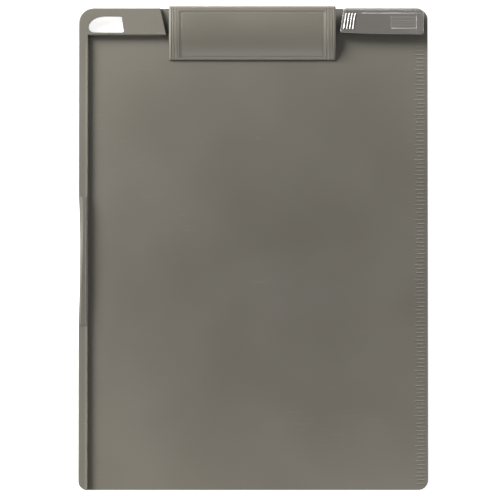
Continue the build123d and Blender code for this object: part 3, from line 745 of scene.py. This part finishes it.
# %% Edge wear
WEAR_INPUTS = {"Radius": 0.0003, "Patchiness": 180.0}
wear_group, given, result = new_group("edge_wear", WEAR_INPUTS, ("Edge", "Normal"))
rounded = add(wear_group, "ShaderNodeBevel", {"samples": 6}, Radius=given["Radius"])
true_normal = wear_group.nodes.new("ShaderNodeNewGeometry").outputs["Normal"]
match = add(wear_group, "ShaderNodeVectorMath", {"operation": "DOT_PRODUCT"})
feed(wear_group, match.inputs[0], rounded.outputs["Normal"])
feed(wear_group, match.inputs[1], true_normal)
turned_away = span(wear_group, match.outputs["Value"], 0.995, 0.86)
patch = add(wear_group, "ShaderNodeTexNoise", Vector=here(wear_group), Scale=given["Patchiness"], Detail=3.0)
patchy = span(wear_group, patch.outputs["Fac"], 0.35, 0.65, 0.35, 1.0)
feed(wear_group, result["Edge"], maths(wear_group, "MULTIPLY", turned_away, patchy))
feed(wear_group, result["Normal"], rounded.outputs["Normal"])
print("group:", wear_group.name)

# %% Hairline scuffs
scuff_group, given, result = new_group("hairline_scuffs", {"Scale": 60.0, "Amount": 0.5}, ("Scuff",))
lines = []
for turn in (0.35, 1.9):
    stretched = here(scuff_group, (1.0, 14.0, 1.0), turn)
    strokes = add(scuff_group, "ShaderNodeTexNoise", Vector=stretched, Scale=given["Scale"], Detail=2.0)
    strokes.inputs["Distortion"].default_value = 0.6
    lines.append(span(scuff_group, strokes.outputs["Fac"], 0.66, 0.74))
where = add(scuff_group, "ShaderNodeTexNoise", Vector=here(scuff_group), Scale=22.0, Detail=2.0)
crossing = maths(scuff_group, "MAXIMUM", *lines)
patches = span(scuff_group, where.outputs["Fac"], 0.48, 0.62)
kept = maths(scuff_group, "MULTIPLY", crossing, patches)
feed(scuff_group, result["Scuff"], maths(scuff_group, "MULTIPLY", kept, given["Amount"]))
print("group:", scuff_group.name)

# %% Drawn lines in metal
drawn_group, given, result = new_group("drawn_lines", {"Scale": 900.0, "Around": 0.04}, ("Height", "Shade"))
along_x = add(drawn_group, "ShaderNodeCombineXYZ", X=given["Around"], Y=1.0, Z=1.0)
squeezed = add(drawn_group, "ShaderNodeVectorMath", {"operation": "MULTIPLY"})
feed(drawn_group, squeezed.inputs[0], here(drawn_group))
feed(drawn_group, squeezed.inputs[1], along_x.outputs["Vector"])
threads = add(drawn_group, "ShaderNodeTexNoise", Vector=squeezed.outputs["Vector"], Detail=4.0)
feed(drawn_group, threads.inputs["Scale"], given["Scale"])
spangle = add(drawn_group, "ShaderNodeTexVoronoi", Vector=here(drawn_group), Scale=420.0)
feed(drawn_group, result["Height"], threads.outputs["Fac"])
mixed = maths(drawn_group, "MULTIPLY_ADD", spangle.outputs["Distance"], 0.3, threads.outputs["Fac"])
feed(drawn_group, result["Shade"], span(drawn_group, mixed, 0.35, 0.8))
print("group:", drawn_group.name)

# %% [markdown]
# ## Finishes
# Moulded plastic: the pigment's colour with slow clouds, lighter where edges
# are rubbed, a fine matt grain in the height, and roughness that follows the
# clouds and scuffs.  The same recipe, with its own values, serves the board,
# the flap, the glossy pen arm and the two rubbers.


# %% Plastic and rubber
GRAIN_DEPTH = 0.00006               # metres


def start_material(name):
    """A material, its tree and its Principled BSDF."""
    material = bpy.data.materials.new(name)
    material.use_nodes = True
    return material, material.node_tree, material.node_tree.nodes["Principled BSDF"]


def use_group(tree, group, **values):
    """A group's outputs, with its inputs set by name."""
    node = tree.nodes.new("ShaderNodeGroup")
    node.node_tree = group
    for name, value in values.items():
        node.inputs[name].default_value = value
    return node.outputs


def scaled(colour, amount):
    """A colour made lighter or darker."""
    return tuple(part * amount for part in colour[:3]) + (1.0,)


def source_of(shader, label):
    """The output that feeds a socket of the shader now."""
    return shader.inputs[label].links[0].from_socket


def moulded(
    name, colour, roughness, clouds=0.08, worn=1.35, wear=0.6,
    radius=0.0003, grain=2200.0, bump=0.2, scuff=0.4,
):
    """Moulded plastic or rubber with cloudy tone, rubbed edges, scuffs and a grained surface."""
    material, tree, shader = start_material(name)
    mould = use_group(tree, grain_group, Scale=grain)
    rubbed = use_group(tree, wear_group, Radius=radius)
    scuffs = use_group(tree, scuff_group, Amount=scuff)["Scuff"]
    tone = blend_colour(tree, mould["Shade"], scaled(colour, 1 - clouds), scaled(colour, 1 + clouds))
    share = maths(tree, "MULTIPLY", rubbed["Edge"], wear)
    tone = blend_colour(tree, share, tone, scaled(colour, worn))
    tone = blend_colour(tree, scuffs, tone, scaled(colour, 1.3))
    feed(tree, shader.inputs["Base Color"], tone)
    dull = span(tree, mould["Shade"], 0, 1, roughness * 0.88, roughness * 1.12, smooth=False)
    rough = maths(tree, "MULTIPLY_ADD", scuffs, 0.15, dull)
    feed(tree, shader.inputs["Roughness"], maths(tree, "MULTIPLY_ADD", rubbed["Edge"], -0.08, rough))
    relief = add(tree, "ShaderNodeBump", Height=mould["Height"], Normal=rubbed["Normal"])
    relief.inputs["Strength"].default_value = bump
    relief.inputs["Distance"].default_value = GRAIN_DEPTH
    feed(tree, shader.inputs["Normal"], relief.outputs["Normal"])
    return material


GREY = (0.121, 0.1122, 0.0915)      # warm grey pigment
SMOKE = (0.163, 0.154, 0.141)       # smoke-grey pigment of the arm
BLACK = (0.03, 0.029, 0.028)        # rubber under the flap
# Painted light: the flap's grey is the board's pigment made 1.62 times lighter, offsetting the shade on its
# sloping roof.
plastic_flap = moulded("flap_plastic", scaled(GREY, 1.62), 0.36, clouds=0.04, bump=0.12)
plastic_arm = moulded(
    "arm_gloss_plastic", SMOKE, 0.08, clouds=0.05, bump=0.02, scuff=0.25, radius=0.00015
)
arm_shader = plastic_arm.node_tree.nodes["Principled BSDF"]
arm_shader.inputs["Coat Weight"].default_value = 1.0
arm_shader.inputs["Coat Roughness"].default_value = 0.05
rubber_grip = moulded("grip_elastomer", GREY, 0.5, grain=1500.0, bump=0.3, worn=1.2)
rubber_jaw = moulded("jaw_rubber", BLACK, 0.7, grain=1300.0, bump=0.45, worn=1.5)
print("moulded finishes made")

# %% [markdown]
# The ribbed recess in the pen arm is frosted in the mould, so it scatters more
# light than the polished cap round it: a lighter, duller rectangle.

# %% Frosted recess on the pen arm
FROST_LIFT, FROST_DULL, FROST_EDGE = 1.2, 0.12, 0.0002
tree = plastic_arm.node_tree
place = add(tree, "ShaderNodeSeparateXYZ", Vector=here(tree))
edges = [(LABEL[0] * MM, "X", 1), (LABEL[1] * MM, "X", -1)]
edges += [((TOP_Y - LABEL[3]) * MM, "Y", 1), ((TOP_Y - LABEL[2]) * MM, "Y", -1)]
frosted = 1.0
for border, axis, way in edges:
    soft = FROST_EDGE * way
    inside = span(tree, place.outputs[axis], border - soft, border + soft)
    frosted = maths(tree, "MULTIPLY", frosted, inside)
milky = lighten(tree, frosted, source_of(arm_shader, "Base Color"), FROST_LIFT)
feed(tree, arm_shader.inputs["Base Color"], milky)
dulled = maths(tree, "MULTIPLY_ADD", frosted, FROST_DULL, source_of(arm_shader, "Roughness"))
feed(tree, arm_shader.inputs["Roughness"], dulled)
print("frosted recess made")

# %% [markdown]
# The flap's flanks and its rear rail stand above the sunk panel.  Their colour
# is painted paler than the panel's: a painted highlight for the light that they
# catch.

# %% Painted highlight on the flap's flanks and rail
FLANK_HIGHLIGHT_LIFT = 1.17
tree = plastic_flap.node_tree
shader = tree.nodes["Principled BSDF"]
place = add(tree, "ShaderNodeSeparateXYZ", Vector=here(tree))
sideways = maths(tree, "ABSOLUTE", maths(tree, "SUBTRACT", place.outputs["X"], FLAP_X * MM))
flank = span(tree, sideways, (PANEL_SHOULDER - 0.8) * MM, PANEL_SHOULDER * MM)
rail = span(tree, place.outputs["Y"], (TOP_Y - PANEL_START - 1.2) * MM, (TOP_Y - PANEL_START) * MM)
# Painted highlight: the flanks and the rear rail are drawn paler.
standing = maths(tree, "MAXIMUM", flank, rail)
paler = lighten(tree, standing, source_of(shader, "Base Color"), FLANK_HIGHLIGHT_LIFT)
feed(tree, shader.inputs["Base Color"], paler)
print("rubbed flanks made")

# %% [markdown]
# The board takes the same recipe and three things more.  Its colour is painted
# lighter towards the corners, a painted sheen where the light falls brighter.  So
# are the raised rim and header, and most of all a narrow band along the rim's
# inner shoulder, a painted highlight.  Painted shade darkens the slots beside the
# flap; the Ambient Occlusion node finds them, because they see little of the room.


# %% Board plastic
# Painted light: the colour is lifted towards the corners and on the raised rim and header, standing in for
# the brighter light there.
SHEEN_CENTRE_X, SHEEN_REACH_SQUARED = 0.03, 0.033  # metres, and metres squared from there to the full lift
BOARD_LIFT, CORNER_SHARE, RAISED_SHARE = 1.56, 0.95, 0.6
RAISED_Z = (0.0045, 0.0062)
# Painted highlight: a narrow lighter band along the rim's inner shoulder.
BAND_LIFT = 1.32
BAND_LEFT, BAND_RIGHT = (-0.112, -0.1109), (-0.1078, -0.1068)
BAND_Z, BAND_Y = (0.0052, 0.006), (0.14, 0.13)
# Painted shade: closed-in slots beside the flap are darkened, and made duller, by how little of the room they
# see.
SLOT_SHADE_REACH, SLOT_SHADE_OPEN, SLOT_SHADE_CLOSED = 0.009, 0.6, 0.26
SLOT_SHADE_TONE, SLOT_SHADE_DULL = 0.1, 0.5

plastic_board = moulded("board_plastic", GREY, 0.42, clouds=0.02, bump=0.16)
tree = plastic_board.node_tree
shader = tree.nodes["Principled BSDF"]
x, y, z = add(tree, "ShaderNodeSeparateXYZ", Vector=here(tree)).outputs
# Painted light: lighter with distance from the middle and on the raised faces.
sideways = maths(tree, "SUBTRACT", x, SHEEN_CENTRE_X)
away = maths(tree, "MULTIPLY_ADD", y, y, maths(tree, "MULTIPLY", sideways, sideways))
corners = span(tree, away, 0.0, SHEEN_REACH_SQUARED, 0.0, CORNER_SHARE, smooth=False)
raised = span(tree, z, *RAISED_Z, 0.0, RAISED_SHARE)
lifted = maths(tree, "MAXIMUM", corners, raised)
tone = lighten(tree, lifted, source_of(shader, "Base Color"), BOARD_LIFT)
# Painted highlight on the rim's inner shoulder, below the header.
rim_highlight_band = maths(tree, "SUBTRACT", span(tree, x, *BAND_LEFT), span(tree, x, *BAND_RIGHT))
rim_highlight_band = maths(tree, "MULTIPLY", rim_highlight_band, span(tree, z, *BAND_Z))
rim_highlight_band = maths(tree, "MULTIPLY", rim_highlight_band, span(tree, y, *BAND_Y))
tone = lighten(tree, rim_highlight_band, tone, BAND_LIFT)
# Painted shade in narrow slots and corners, found by the Ambient Occlusion node.
openness = add(tree, "ShaderNodeAmbientOcclusion", {"samples": 8}, Distance=SLOT_SHADE_REACH)
painted_slot_shade = span(tree, openness.outputs["AO"], SLOT_SHADE_OPEN, SLOT_SHADE_CLOSED)
feed(tree, shader.inputs["Base Color"], lighten(tree, painted_slot_shade, tone, SLOT_SHADE_TONE))
dulled = maths(tree, "MULTIPLY_ADD", painted_slot_shade, SLOT_SHADE_DULL, source_of(shader, "Roughness"))
feed(tree, shader.inputs["Roughness"], dulled)
print("board finish made")

# %% [markdown]
# Metal: the flat parts are rolled, the pins are ground and the springs drawn,
# so each shows fine lines one way.  Zinc plate adds a faint spangle.  A little
# grey-brown tarnish gathers in the darker lines.


# %% Metals
TARNISH, LINE_DEPTH = (0.62, 0.58, 0.52), 0.00003


def metal(name, colour, roughness, lines=900.0, around=0.04, bump=0.15, tarnish=0.25):
    """Bare or plated metal with fine lines, tarnish and brighter edges."""
    material, tree, shader = start_material(name)
    drawn = use_group(tree, drawn_group, Scale=lines, Around=around)
    rubbed = use_group(tree, wear_group, Radius=0.00012)
    dulled = tuple(part * share for part, share in zip(colour, TARNISH)) + (1.0,)
    share = span(tree, drawn["Shade"], 0, 1, tarnish, 0.0, smooth=False)
    tone = blend_colour(tree, share, colour + (1.0,), dulled)
    feed(tree, shader.inputs["Base Color"], blend_colour(tree, rubbed["Edge"], tone, scaled(colour, 1.15)))
    feed(tree, shader.inputs["Roughness"], span(tree, drawn["Shade"], 0, 1, roughness * 1.3, roughness * 0.8))
    shader.inputs["Metallic"].default_value = 1.0
    relief = add(tree, "ShaderNodeBump", Height=drawn["Height"], Normal=rubbed["Normal"])
    relief.inputs["Strength"].default_value = bump
    relief.inputs["Distance"].default_value = LINE_DEPTH
    feed(tree, shader.inputs["Normal"], relief.outputs["Normal"])
    return material


zinc_steel = metal("zinc_plated_steel", (0.56, 0.57, 0.6), 0.36, tarnish=0.35)
rivet_steel = metal("nickel_rivet_steel", (0.62, 0.6, 0.56), 0.3, around=1.0)
pin_steel = metal("ground_pin_steel", (0.64, 0.64, 0.65), 0.2, lines=1500.0, around=2.5, bump=0.08)
spring_steel = metal("drawn_spring_steel", (0.5, 0.5, 0.52), 0.28, lines=1200.0, around=0.5)
print("metals made")

# %% [markdown]
# The floor is plain white paper with a barely visible tooth, on a light table
# whose faint glow thins the cast shadows.

# %% Floor paper
PAPER_DARK, PAPER_LIGHT = (0.9, 0.9, 0.895, 1.0), (0.93, 0.93, 0.925, 1.0)
floor_paper, tree, shader = start_material("floor_paper")
paper = use_group(tree, grain_group, Scale=900.0, Clouds=3.0)
sheet = blend_colour(tree, paper["Shade"], PAPER_DARK, PAPER_LIGHT)
feed(tree, shader.inputs["Base Color"], sheet)
shader.inputs["Roughness"].default_value = 0.9
shader.inputs["Emission Color"].default_value = (1.0, 1.0, 1.0, 1.0)
shader.inputs["Emission Strength"].default_value = 0.8
print("floor finish made")

# %% Give every piece its finish
FINISHES = {
    plastic_board: ("board", marks),
    plastic_flap: (flap,),
    plastic_arm: (arm,),
    rubber_grip: (grip,),
    rubber_jaw: ("clip_jaw_pad",),
    zinc_steel: ("clip_bracket",),
    rivet_steel: ("bracket_rivets",),
    pin_steel: ("clip_axle", "pen_arm_pin"),
    spring_steel: ("axle_ring_left", "axle_ring_right", *springs),
    floor_paper: (floor,),
}
for material, targets in FINISHES.items():
    for target in targets:
        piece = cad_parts[target] if isinstance(target, str) else target
        piece.data.materials.clear()
        piece.data.materials.append(material)
print("finishes:", len(FINISHES))
